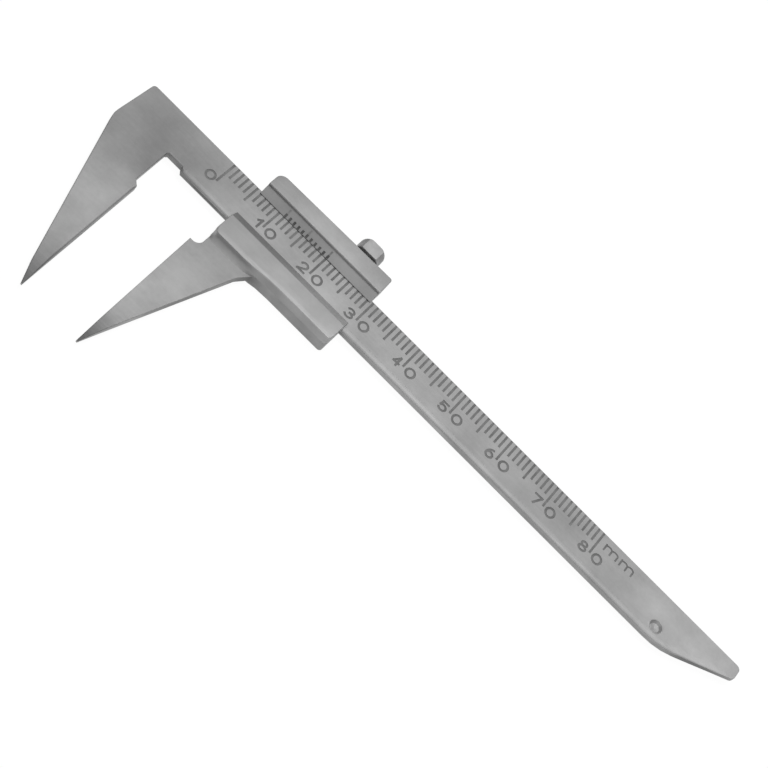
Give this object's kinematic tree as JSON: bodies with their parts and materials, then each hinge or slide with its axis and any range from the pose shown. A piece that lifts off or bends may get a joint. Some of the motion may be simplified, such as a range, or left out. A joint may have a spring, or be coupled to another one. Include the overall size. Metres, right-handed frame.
{
  "type": "sliding dental caliper",
  "caption": "Flat steel sliding caliper with long pointed jaws, an engraved millimetre beam with a plain tail, a riveted slider with a bevelled vernier and a clamp screw in its edge.",
  "frame": {"origin": "on the beam's back face, under the zero of the engraved scale and at the middle of the beam's width", "axes": "+X along the beam from the jaws towards the tail, +Y across the beam towards the graduated edge, +Z out of the front face"},
  "size_m": [0.1271, 0.0506, 0.0047],
  "materials": {
    "beam_steel": "satin stainless plate, engraved and dark filled scale",
    "jaw_steel": "satin stainless plate with ground point",
    "slider_steel": "satin stainless bar with softened edges",
    "rivet_steel": "flush ground rivet ends",
    "pin_steel": "turned pin",
    "screw_steel": "turned and polished",
    "pad_brass": "plain cut"
  },
  "bodies": {
    "beam": {"beam": "beam_steel", "stop_pin": "pin_steel"},
    "slider": {"back_plate": "slider_steel", "moving_jaw": "jaw_steel", "lower_rail": "slider_steel", "vernier_rail": "slider_steel", "rail_rivets": "rivet_steel"},
    "pad": {"clamp_pad": "pad_brass"},
    "screw": {"clamp_screw": "screw_steel"}
  },
  "joints": [
    {"name": "slider_travel", "type": "slide", "parent": "beam", "child": "slider", "axis": [1, 0, 0], "range_m": [-0.01098, 0.06425]},
    {"name": "pad_press", "type": "slide", "parent": "slider", "child": "pad", "axis": [0, -1, 0], "range_m": [0, 0.0002]},
    {"name": "screw_turn", "type": "hinge", "parent": "pad", "child": "screw", "pos_m": [0.024, 0.00835, 0.00155], "axis": [0, -1, 0], "range_deg": [0, 180]}
  ],
  "couplings": [
    {"joint": "screw_turn", "follows": "pad_press", "rad_per_m": 15708}
  ]
}
